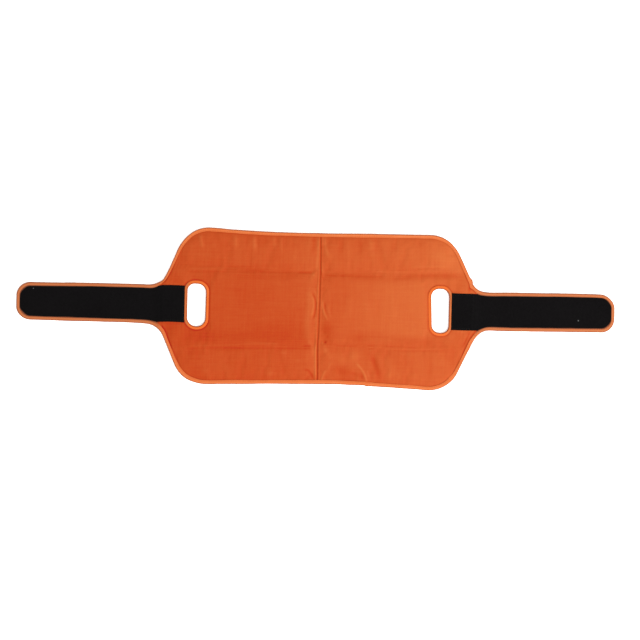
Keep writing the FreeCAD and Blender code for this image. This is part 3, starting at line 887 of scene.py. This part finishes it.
def features(X, Y, WX, WY):
    """Height added to the face by its creases and puckers, and the painted shade and painted highlights added to the
    cloth's tone there.
    """
    z = np.zeros(X.shape)
    tone = np.zeros(X.shape)
    ax = np.abs(WX)
    short = smooth01((ax - 6.0) / 5.0)
    # upper crease, a valley with a long lower slope on the right
    du = WY - upper_crease(WX)
    amp = short * smooth01((206 - ax) / 14)
    z -= amp * (np.interp(WX, [-200, -60, -20, 20, 60, 90, 210], [.05, .06, .16, .16, .12, .05, .04]) * bell(du, 0.9) + np.where(du < 0, np.interp(WX, [-200, 0, 60, 120, 200], [.35, .3, .6, 1.15, 1.2]) * np.exp(du / 15.0), 0.4 * np.exp(-du / 11.0)))
    # lower crease, a ridge whose upper side is the steeper
    dl = WY - lower_crease(WX)
    amp = short * smooth01((204 - ax) / 14)
    z += amp * (0.14 * bell(dl, 0.9) + np.where(dl > 0, np.interp(WX, [-200, 0, 60, 200], [.75, .8, .7, .8]) * np.exp(-dl / 13.0), 0.55 * np.exp(dl / 9.0)))
    # centre fold: a narrow groove between two lips, with painted shade in the groove and a painted highlight on the
    # left lip
    dx = WX - fold_line(WY)
    painted_fold_shade = np.interp(WY, [-104, -60, -48, -38, 5, 20, 30, 50, 85, 100], [1.0, 1.0, 1.0, .5, .45, .6, .75, 1.0, 1.0, .7])
    z -= 0.5 * bell(dx, 0.75) + 0.35 * np.exp(-np.abs(dx) / 8.0)
    z += 0.5 * bell(np.abs(dx) - 2.2, 1.1)
    tone -= 0.80 * painted_fold_shade * bell(dx, 0.6) + 0.22 * painted_fold_shade * bell(dx - 1.3, 0.7)
    tone += 0.20 * bell(dx + 2.0, 0.8)
    for pts, w, dz, painted_light_dt in STROKES:
        pts = np.array(pts, float)
        lo, hi = pts.min(0) - 3.2 * w, pts.max(0) + 3.2 * w
        sel = (WX > lo[0]) & (WX < hi[0]) & (WY > lo[1]) & (WY < hi[1])
        if not sel.any():
            continue
        d, t, _ = seg_path(WX[sel], WY[sel], pts)
        if len(pts) > 1:
            length = np.linalg.norm(np.diff(pts, axis=0), axis=1).sum()
            e = min(0.48, 2.2 * w / max(length, 1e-6) + 0.05)
            fade = smooth01(t / e) * 0.75 + 0.25
            fade = fade * (smooth01((1 - t) / e) * 0.75 + 0.25)
        else:
            fade = 1.0
        k = bell(d, w) * fade
        z[sel] += dz * k
        tone[sel] += painted_light_dt * k
    de = _cache["edge"]
    for px, w, h, reach in ((-138, 3.0, .25, 12), (-30, 3.0, .25, 10), (40, 3.0, .3, 13), (118, 4.0, .3, 15), (150, 3.0, .25, 12), (170, 3, .25, 12)):
        z += np.where(WY > 0, h * bell(WX - px - 0.06 * (100 - WY), w) * np.exp(-np.maximum(de - 6.5, 0) / reach) * smooth01((de - 5.0) / 4), 0)
    for px, w, h, reach in ((-112, 2.6, .25, 11), (-72, 3.2, .3, 13), (24, 2.6, .25, 12), (132, 3.0, .3, 14), (158, 3.4, .3, 13)):
        z += np.where(WY < 0, h * bell(WX - px + 0.05 * (100 + WY), w) * np.exp(-np.maximum(de - 6.5, 0) / reach) * smooth01((de - 5.0) / 4), 0)
    small = vnoise(WX, WY * 0.25, 7.5, 33)
    z += 0.14 * small * np.exp(-np.maximum(de - 6.5, 0) / 8.0)
    # long soft undulations of thin foam
    z += 0.40 * fbm(WX, WY, 62, 71, 2) + 0.16 * fbm(WX, WY, 24, 77, 2)
    return z, tone


_cache = {}


def painted_light_tone(WX, WY):
    """Painted light on the face: deeper on the left half, paler on the right as a painted sheen and falloff of the
    light, in soft horizontal bands of painted shading of the relief.
    """
    left = np.interp(WX, [-220, -190, -150, -60, -25, -8, -1], [.30, .19, .14, .19, .26, .44, .5])
    left = left + np.interp(WY, [-105, -60, -44, -34, -18, 20, 40, 60, 104], [-.06, -.06, -.17, -.17, -.07, -.05, .02, .07, .13]) * smooth01((-WX - 4) / 12)
    mid = np.interp(WX, [-2, 8, 20, 45, 80, 110, 140, 180, 220], [.50, .32, .30, .48, .68, .76, .80, .80, .7])
    top = np.interp(WX, [-2, 10, 45, 80, 110, 140, 165, 185, 220], [.60, .46, .50, .60, .62, .68, .86, 1.02, 1.0])
    low = np.interp(WX, [-2, 10, 25, 60, 90, 140, 180, 220], [.42, .34, .42, .38, .44, .46, .56, .70])
    wt = smooth01((WY - 36) / 22)
    wl = smooth01((-WY - 30) / 20)
    right = mid * (1 - wt - wl) + top * wt + low * wl
    s = smooth01((WX + 2.2) / 3.0)
    return left * (1 - s) + right * s


def leg_array(X, Y):
    """Width of the binding's leg beside the panel, about as leg_at gives it."""
    ax = np.abs(X)
    return W_BIND + 0.45 * smooth01((-Y - 8) / 10) - np.where(Y < 0, 1.35, 0.8) * smooth01((ax - 186) / 12) * smooth01((222 - ax) / 8)


def pad_top(X, Y, WX, WY):
    _cache["edge"] = edge_distance(X, Y)
    _cache["slot"] = slot_distance(X, Y)
    de, ds = _cache["edge"], _cache["slot"]
    z, tone = features(X, Y, WX, WY)
    lift = sim_lift(X, Y)
    crown = 1 - np.exp(-np.maximum(de - W_BIND + 0.6, 0) / 5.5)
    crown *= 1 - np.exp(-np.maximum(ds - W_SLOT_BIND + 0.8, 0) / 4.5)
    under = smooth01((np.abs(X) - TAPE_END + 3) / 5) * smooth01((TAPE_HALF + 2 - np.abs(Y)) / 4)
    loose = smooth01((de - 3.6) / 2.6) * smooth01((ds - 2.8) / 2.4) * (1 - 0.92 * under)
    top = 4.15 + 0.75 * crown + loose * (z + 0.38 * lift)
    # tone: painted light, the painted shade and highlights of the creases and random mottling, then painted shade
    # beside the binding, outside the slot rings and at the strap roots, and a painted highlight on the puckers
    tone = painted_light_tone(WX, WY) + tone * loose + 0.10 * fbm(WX, WY, 40, 45, 3)
    tone = tone - 0.22 * bell(de - W_BIND - 0.2, 0.9) - 0.6 * bell(ds - W_SLOT_BIND - 0.7, 0.95) + 0.05 * lift
    tone = tone - 0.55 * bell(de - leg_array(X, Y) - 0.5, 0.8) * smooth01((np.abs(X) - 193) / 8)
    _cache["tone"] = np.clip(tone, -0.6, 1.7)
    return np.clip(top, 2.2, 7.2)


def columns(a, b, step, fine=None, fine_step=0.55):
    """x of the grid columns, closer together inside the fine stretches."""
    fine = fine or []
    xs, x = [a], a
    while x < b - 1e-6:
        st = step
        for lo, hi in fine:
            gap = max(lo - x, x - hi, 0)
            st = min(st, fine_step + gap * 0.22)
        x = min(b, x + st)
        xs.append(x)
    xs = np.array(xs)
    if len(xs) > 2 and xs[-1] - xs[-2] < 0.25 * step:
        xs = np.delete(xs, -2)
    return xs


simulate_skin()

mirror_cols = columns(0, PANEL_END, 1.4, [(0, 6)], 0.4)
pad_cols = np.concatenate([-columns(0, LEFT_END, 1.4, [(0, 6)], 0.4)[:0:-1], mirror_cols])
pad = shell("face_fabric_pad", pad_cols, half_height(1.3), 164, pad_top, lambda X, Y, WX, WY: np.full(X.shape, 1.45), [FACE],
            hole=lambda x, y: slot_distance(x, y) < 1.75, attrs={"tone": lambda *a: _cache["tone"]})


def back_bottom(X, Y, WX, WY):
    z = 0.42 + 0.16 * fbm(WX, WY, 30, 66, 3)
    z += 0.35 * bell(WX - fold_line(WY), 1.6)
    z += 0.25 * bell(WY - upper_crease(WX), 1.6) + 0.25 * bell(WY - lower_crease(WX), 1.6)
    return np.clip(z, 0.12, 1.0)


def back_tone(X, Y, WX, WY):
    t = 0.35 + 0.3 * fbm(WX, WY, 60, 46, 3)
    # painted shade along the centre fold and the two creases
    return t - 0.8 * bell(WX - fold_line(WY), 1.0) - 0.4 * bell(WY - upper_crease(WX), 1.0) - 0.4 * bell(WY - lower_crease(WX), 1.0)


mirror_cols = columns(0, PANEL_END, 2.0, [(0, 5)], 0.6)
back_cols = np.concatenate([-columns(0, LEFT_END, 2.0, [(0, 5)], 0.6)[:0:-1], mirror_cols])
back = shell("back_fabric_sheet", back_cols, half_height(1.3), 108, lambda X, Y, WX, WY: np.full(X.shape, 1.4), back_bottom, [BACK],
             hole=lambda x, y: slot_distance(x, y) < 2.2,
             attrs={"tone": back_tone})


def fold_blend(ob):
    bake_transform(ob)


# ------------------------------------------------------------------ tape and tail backing
def tape_z(x):
    """Top of the tape: on the panel, down the step at the root, then along the tail."""
    a = np.abs(x)
    return 6.15 - 3.35 * smooth01((a - 209.0) / 15.0)


def bind_z(x):
    """Top of the folded binding."""
    a = np.abs(x)
    return np.where(a < 205, 5.0, np.minimum(5.1, tape_z(x) + 0.62))


def straight_warp(x, y):
    """The warp for the tape, which runs straight over the root while the outline curves away."""
    wx, wy = warp(x, y)
    k = smooth01((np.abs(x) - 220.0) / 9.0)
    return wx, (y + knots(x, MID_X, MID_D)) * (1 - k) + wy * k


def tape_piece(name, side, a, b):
    hh_tail = half_height(1.2)

    def hh(x):
        ax = np.abs(x)
        return np.where(ax < 216.0, TAPE_HALF, np.minimum(TAPE_HALF, hh_tail(x)))

    def top(X, Y, WX, WY):
        z = tape_z(X)
        z = z + 0.10 * fbm(X + side * 900, Y, 18, 101 + (side > 0), 3) + 0.05 * vnoise(X, Y, 3.0, 102)
        e = np.minimum(hh(X) - np.abs(Y), np.abs(X) - TAPE_END)
        z = z - 0.5 * np.exp(-np.maximum(e, 0) / 0.7)
        # line of stitching across the tape at its root, and the run of the edge stitching
        z = z - 0.34 * bell(np.abs(X) - 213.0 - 0.5 * vnoise(Y, Y * 0, 15, 9), 0.9) + 0.22 * bell(np.abs(X) - 210.6, 1.3)
        tail = smooth01((np.abs(X) - 222) / 6)
        z = z - 0.30 * tail * bell(np.abs(Y) - 18.6 - 0.35 * vnoise(X, Y * 0, 30, 13), 0.8)
        wav = vnoise(X, np.sign(Y) * 50, 16, 23) * np.exp(-np.maximum(21 - np.abs(Y), 0) / 5)
        return z + 0.18 * tail * wav

    xs = columns(a, b, 1.6, [(208, 224)] if a < 250 else [(329, 334)], 0.7)
    if side < 0:
        xs = -xs[::-1]
    return shell(name, xs, hh, 44, top, lambda X, Y, WX, WY: top(X, Y, WX, WY) * 0 + tape_z(X) - 1.45, [PILE], bend=straight_warp)


def backing_piece(name, side, a, b):
    hh_ = half_height(1.3)
    xs = columns(a, b, 2.0, [(208, 224)] if a < 250 else [(329, 334)], 0.8)
    if side < 0:
        xs = -xs[::-1]

    def bottom(X, Y, WX, WY):
        under = smooth01((np.abs(Y) - 21.5) / 1.8) * smooth01((227.0 - np.abs(X)) / 4.0)
        return 0.42 + 0.12 * fbm(X, Y, 22, 67, 3) + 0.55 * under

    def top(X, Y, WX, WY):
        base = tape_z(X) - 1.5
        corner = smooth01((np.abs(Y) - 23.4) / 1.5) * smooth01((231.0 - np.abs(X)) / 7.0)
        return base + (np.minimum(4.5, tape_z(X) - 0.45) - base) * corner

    def tone(X, Y, WX, WY):
        corner = smooth01((np.abs(Y) - 21.0) / 2.0) * smooth01((228.0 - np.abs(X)) / 5.0)
        return (0.35 + 0.3 * fbm(WX, WY, 40, 47, 3)) * (1 - corner) + 0.05 * corner

    return shell(name, xs, hh_, 46 if a < 250 else 30, top, bottom, [FACE, BACK], attrs={"tone": tone}, bottom_mat=1, side_mat=1)


SIDES = (("left", -1), ("right", 1))


def root_blend(ob):
    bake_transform(ob)


def tip_blend(ob, sg):
    k = 1 - sg * 0.0135
    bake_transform(ob)


# warped x of the hinge lines differs by the small warp; the tape is built so that the step sits on the real hinge
for side, sg in SIDES:
    t1 = tape_piece(side + "_root_and_tail_tape", sg, TAPE_END, TAIL_SPLIT)
    t2 = tape_piece(side + "_tip_tape_piece", sg, TAIL_SPLIT, HALF_LENGTH - 1.2)
    b1 = backing_piece(side + "_tail_backing_piece", sg, PANEL_END if sg > 0 else LEFT_END, TAIL_SPLIT)
    b2 = backing_piece(side + "_tip_backing_piece", sg, TAIL_SPLIT, HALF_LENGTH - 1.3)
    for ob in (t1, b1):
        root_blend(ob)
    for ob in (t2, b2):
        tip_blend(ob, sg)
    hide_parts(side + "_root_tape", side + "_tail_tape")
    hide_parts(side + "_tip_tape")
    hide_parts(side + "_tail_backing")
    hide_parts(side + "_tip_backing")

fold_blend(pad)
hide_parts("left_face_panel", "right_face_panel", "left_foam_pad", "right_foam_pad")
fold_blend(back)
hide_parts("left_back_panel", "right_back_panel")


# ------------------------------------------------------------------ folded binding, stitches
ring, ring_s = resample(OUT, 1.25)
ring_t, ring_n = inward(ring)
RING_LEN = ring_s[-1] + 1.25


def leg_at(x, y):
    """Width of the binding's leg: wider where it bunches round the corners of the straps."""
    ax, ay = abs(x), abs(y)
    leg = W_BIND + (W_TAIL_BIND - W_BIND) * float(smooth01((ax - 212) / 16))
    leg += 0.45 * float(smooth01((-y - 8) / 10))
    leg -= (1.35 if y < 0 else 0.8) * float(smooth01((ax - 186) / 12) * smooth01((222 - ax) / 8))
    bunch = 0.6 if x > 0 else (1.5 if y < 0 else 1.1)
    return leg + bunch * math.exp(-((ax - 403) ** 2 + (ay - 20.5) ** 2) / 9.5 ** 2)


def edge_profile(x, s, leg, top, t=0.55, seed=0):
    """Cross-section of the folded binding at one station: n inwards from the rim, z up."""
    wob = 0.30 * float(vnoise(s, seed, 26, 14)) + 0.14 * float(vnoise(s, seed + 9, 7, 15))
    w = leg + 0.42 * float(vnoise(s, seed + 20, 34, 16)) + 0.16 * float(vnoise(s, seed + 30, 9, 17))
    T = top + 0.10 * float(vnoise(s, seed + 40, 14, 18))
    o = wob * 0.6
    return [(w, T - t * 0.55), (w - 0.12, T - 0.10), (w - 0.55, T + 0.03), (w - 1.15, T - 0.06), (w - 1.5, T - 0.16), (w - 1.85, T - 0.06),
            (w - 2.5, T + 0.12), (w * 0.40, T + 0.14), (1.15 + o, T - 0.02), (0.55 + o, T - 0.30), (0.16 + o, T - 0.85), (0.0 + o, T * 0.5 + 0.1),
            (0.14 + o, 0.85), (0.50 + o, 0.32), (1.1 + o, 0.08), (w * 0.42, 0.0), (w - 0.5, 0.02), (w, 0.22), (w - 0.1, t),
            (1.6 + o, t + 0.02), (0.95 + o, 0.95), (0.62 + o, T * 0.5), (0.95 + o, T - 1.05), (1.6 + o, T - t - 0.02), (w - 0.2, T - t - 0.02)]


def stations(select):
    """Indices of the ring's stations in one unbroken run, in order."""
    sel = np.array([bool(select(x, y)) for x, y in ring])
    n = len(sel)
    starts = [i for i in range(n) if sel[i] and not sel[i - 1]]
    start = starts[0]
    out = []
    i = start
    while sel[i % n] and len(out) < n:
        out.append(i % n)
        i += 1
    out.append(i % n)
    return out


def binding_piece(name, select, mats):
    ids = stations(select)
    line, nrm, s = ring[ids], ring_n[ids], ring_s[ids].copy()
    s[np.where(np.diff(s, prepend=s[0]) < -100)[0]] += 0
    def prof(i):
        x, y = line[i]
        leg = leg_at(x, y)
        return edge_profile(x, float(ring_s[ids[i]]), leg, float(bind_z(x)), seed=0)
    ob = sweep(name, line, nrm, ring_s[ids], prof, mats)
    fix_normals(ob)
    return ob


def bead(length, width, height):
    """One stitch: a small rounded bar, its ends pulled down into the cloth."""
    rings, k = [], 6
    for t, r in ((-0.5, 0.12), (-0.40, 0.72), (-0.15, 1.0), (0.15, 1.0), (0.40, 0.72), (0.5, 0.12)):
        drop = -height * 0.9 * (abs(t) * 2) ** 3
        for j in range(k):
            a = 2 * math.pi * j / k
            rings.append((t * length, math.cos(a) * width / 2 * r, math.sin(a) * height / 2 * r + drop))
    faces = []
    for i in range(5):
        for j in range(k):
            faces.append([i * k + j, i * k + (j + 1) % k, (i + 1) * k + (j + 1) % k, (i + 1) * k + j])
    faces.append(list(range(k))[::-1])
    faces.append([5 * k + j for j in range(k)])
    return np.array(rings), faces


def stitches(name, path, zs, mats, length=2.5, pitch=3.3, width=0.48, height=0.34, seed=0):
    """Stitches along open or closed runs. path is a list of (points, z function)."""
    proto, pf = bead(length, width, height)
    verts, faces = [], []
    rnd = np.random.default_rng(seed)
    for pts in path:
        seg = np.linalg.norm(np.diff(pts, axis=0), axis=1)
        s = np.concatenate([[0], np.cumsum(seg)])
        n = max(1, int(s[-1] / pitch))
        for k in range(n):
            at = (k + 0.5) * s[-1] / n
            x, y = np.interp(at, s, pts[:, 0]), np.interp(at, s, pts[:, 1])
            x2, y2 = np.interp(min(at + 0.8, s[-1]), s, pts[:, 0]), np.interp(min(at + 0.8, s[-1]), s, pts[:, 1])
            x1, y1 = np.interp(max(at - 0.8, 0), s, pts[:, 0]), np.interp(max(at - 0.8, 0), s, pts[:, 1])
            a = math.atan2(y2 - y1, x2 - x1) + rnd.normal(0, 0.035)
            c, si = math.cos(a), math.sin(a)
            z = float(zs(x, y))
            base = len(verts) * 0 + sum(len(v) for v in verts)
            p = proto.copy()
            q = np.stack([x + p[:, 0] * c - p[:, 1] * si, y + p[:, 0] * si + p[:, 1] * c, z + p[:, 2]], 1)
            verts.append(q)
            faces += [[i + base for i in f] for f in pf]
    return make_object(name, np.concatenate(verts), faces, mats)


def ring_run(select, inset_fn):
    ids = stations(select)
    return np.array([ring[i] + ring_n[i] * inset_fn(ring[i], ring_s[i]) for i in ids])


def stitch_inset(p, s):
    return leg_at(*p) + 0.42 * float(vnoise(s, 20, 34, 16)) + 0.16 * float(vnoise(s, 30, 9, 17)) - 1.5


panel_top = binding_piece("panel_binding_top", lambda x, y: y > 0 and abs(x) <= SPLIT, [EDGE])
panel_bot = binding_piece("panel_binding_bottom", lambda x, y: y < 0 and abs(x) <= SPLIT, [EDGE])
for ob, which in ((panel_top, "upper"), (panel_bot, "lower")):
    fold_blend(ob)
    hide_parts("left_%s_binding" % which, "right_%s_binding" % which)

stitch_z = lambda x, y: float(bind_z(x)) + 0.02
st = stitches("panel_edge_stitches", [ring_run(lambda x, y: y > 0 and abs(x) <= SPLIT, stitch_inset), ring_run(lambda x, y: y < 0 and abs(x) <= SPLIT, stitch_inset)],
              stitch_z, [THREAD], seed=3)
fold_blend(st)
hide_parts("left_edge_stitching", "right_edge_stitching")

# a binding colour that runs from the panel's brighter tape to the duller one of the tails
for side, sg in SIDES:
    runs = []
    for up, tag in ((1, "upper"), (-1, "lower")):
        sel = lambda x, y, sg=sg, up=up: y * up > 0 and SPLIT < x * sg <= TAIL_SPLIT
        ob = binding_piece("%s_root_binding_%s" % (side, tag), sel, [TAIL])
        root_blend(ob)
        if up > 0:
            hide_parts(side + "_tail_binding")
        runs.append(ring_run(sel, stitch_inset))
    s1 = stitches(side + "_tail_stitches", runs, stitch_z, [THREAD], seed=5)
    root_blend(s1)
    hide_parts(side + "_tail_stitching")
    sel = lambda x, y, sg=sg: x * sg > TAIL_SPLIT
    ob = binding_piece(side + "_tip_binding_piece", sel, [TAIL])
    tip_blend(ob, sg)
    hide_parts(side + "_tip_binding")
    s2 = stitches(side + "_tip_stitches", [ring_run(sel, stitch_inset)], stitch_z, [THREAD], seed=6)
    tip_blend(s2, sg)
    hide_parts(side + "_tip_stitching")

    # slot binding: clockwise round the slot seen from above, with inward normals turned outwards
    line, s = SLOT_LINES[sg]
    tng, nrm = inward(line)
    nrm = -nrm

    def prof(i, s=s, sg=sg):
        a = float(vnoise(s[i], 70 + sg, 12, 19))
        wdt = W_SLOT_BIND + 0.25 * a
        T = 5.05 + 0.10 * float(vnoise(s[i], 80 + sg, 9, 20))
        return [(wdt, T - 0.62), (wdt - 0.1, T - 0.30), (wdt - 0.45, T - 0.12), (wdt - 0.95, T - 0.10), (wdt - 1.6, T + 0.10), (1.6, T + 0.20), (0.9, T + 0.06),
                (0.35, T - 0.38), (0.05, T - 1.1), (0.0, T * 0.5), (0.08, 1.0), (0.4, 0.35), (1.0, 0.06), (wdt * 0.6, 0.0), (wdt - 0.3, 0.03), (wdt, 0.24),
                (wdt - 0.1, 0.55), (1.5, 0.58), (0.85, 1.1), (0.6, T * 0.5), (0.85, T - 1.1), (1.5, T - 0.62), (wdt - 0.2, T - 0.68)]

    duller = lambda v, sg=sg: 0.75 * smooth01((v[:, 0] * sg - SLOT_X - 8) / 6)
    ob = sweep(side + "_slot_ring", line, nrm, s, prof, [SLOT], closed=True, attrs_extra=duller)
    fix_normals(ob)
    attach(ob, side + "_half")
    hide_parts(side + "_slot_binding")
    run = line + nrm * (W_SLOT_BIND - 1.0)
    run = np.vstack([run, run[:1]])
    s3 = stitches(side + "_slot_stitches", [run], lambda x, y: 5.05, [THREAD], length=2.0, pitch=2.7, width=0.42, height=0.3, seed=8)
    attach(s3, side + "_half")
    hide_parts(side + "_slot_stitching")

    # black stitching round the inner end of the tape
    a, b, hy = TAPE_END + 1.6, 208.0, 22.4
    box = np.array([(sg * b, hy), (sg * a, hy), (sg * a, -hy), (sg * b, -hy)], float)
    box, _ = resample(box, 1.0, closed=False)
    s4 = stitches(side + "_root_tape_stitches", [box], lambda x, y: 6.15, [BLACK], length=2.4, pitch=3.2, width=0.45, height=0.34, seed=9)
    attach(s4, side + "_half")
    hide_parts(side + "_root_tape_stitching")

# ------------------------------------------------------------------ floor, light, camera
mesh = bpy.data.meshes.new("floor")
mesh.from_pydata([(-5, -5, -0.0002), (5, -5, -0.0002), (5, 5, -0.0002), (-5, 5, -0.0002)], [], [[0, 1, 2, 3]])
floor = bpy.data.objects.new("floor", mesh)
bpy.context.scene.collection.objects.link(floor)
fm, fnt, fb = new_material("floor_paper")
FN = Nodes(fnt)
coord = FN.add("ShaderNodeTexCoord").outputs["Object"]
FN.put(fb.inputs["Base Color"], FN.mix(FN.range(FN.noise(coord, 6.0, 3.0), 0.3, 0.7, 0.0, 1.0), (0.94, 0.94, 0.94, 1), (0.95, 0.95, 0.95, 1)))
fb.inputs["Roughness"].default_value = 0.9
fb.inputs["Specular IOR Level"].default_value = 0.1
fb.inputs["Emission Color"].default_value = (1.0, 1.0, 1.0, 1)
fb.inputs["Emission Strength"].default_value = 0.30      # an opal table, lit a little from below
mesh.materials.append(fm)

scene = bpy.context.scene
scene.view_settings.view_transform = "Standard"
scene.view_settings.look = "None"
scene.view_settings.exposure = 0.0
scene.view_settings.gamma = 1.0
world = bpy.data.worlds.new("studio")
scene.world = world
world.use_nodes = True
world.node_tree.nodes["Background"].inputs[0].default_value = (1.0, 1.0, 1.0, 1)
world.node_tree.nodes["Background"].inputs[1].default_value = 1.05


def area(name, loc, target, size, power, colour=(1, 1, 1)):
    l = bpy.data.lights.new(name, "AREA")
    l.shape = "RECTANGLE"
    l.size, l.size_y = size
    l.energy = power
    l.color = colour
    ob = bpy.data.objects.new(name, l)
    scene.collection.objects.link(ob)
    ob.location = loc
    d = Vector(target) - Vector(loc)
    ob.rotation_euler = d.to_track_quat("-Z", "Y").to_euler()
    return ob


area("key", (1.45, -0.95, 2.3), (0, 0, 0), (1.3, 1.0), 122.0)

cam_data = bpy.data.cameras.new("camera")
cam_data.sensor_width = 36.0
cam_data.lens = 85.0
cam = bpy.data.objects.new("camera", cam_data)
scene.collection.objects.link(cam)
WIDTH = 0.640 * 1.362
cam.location = (0.0010, -0.01705, WIDTH * 85.0 / 36.0 + 0.004)
cam.rotation_euler = (0.0, 0.0, math.radians(1.29))
cam_data.clip_end = 50.0
scene.camera = cam
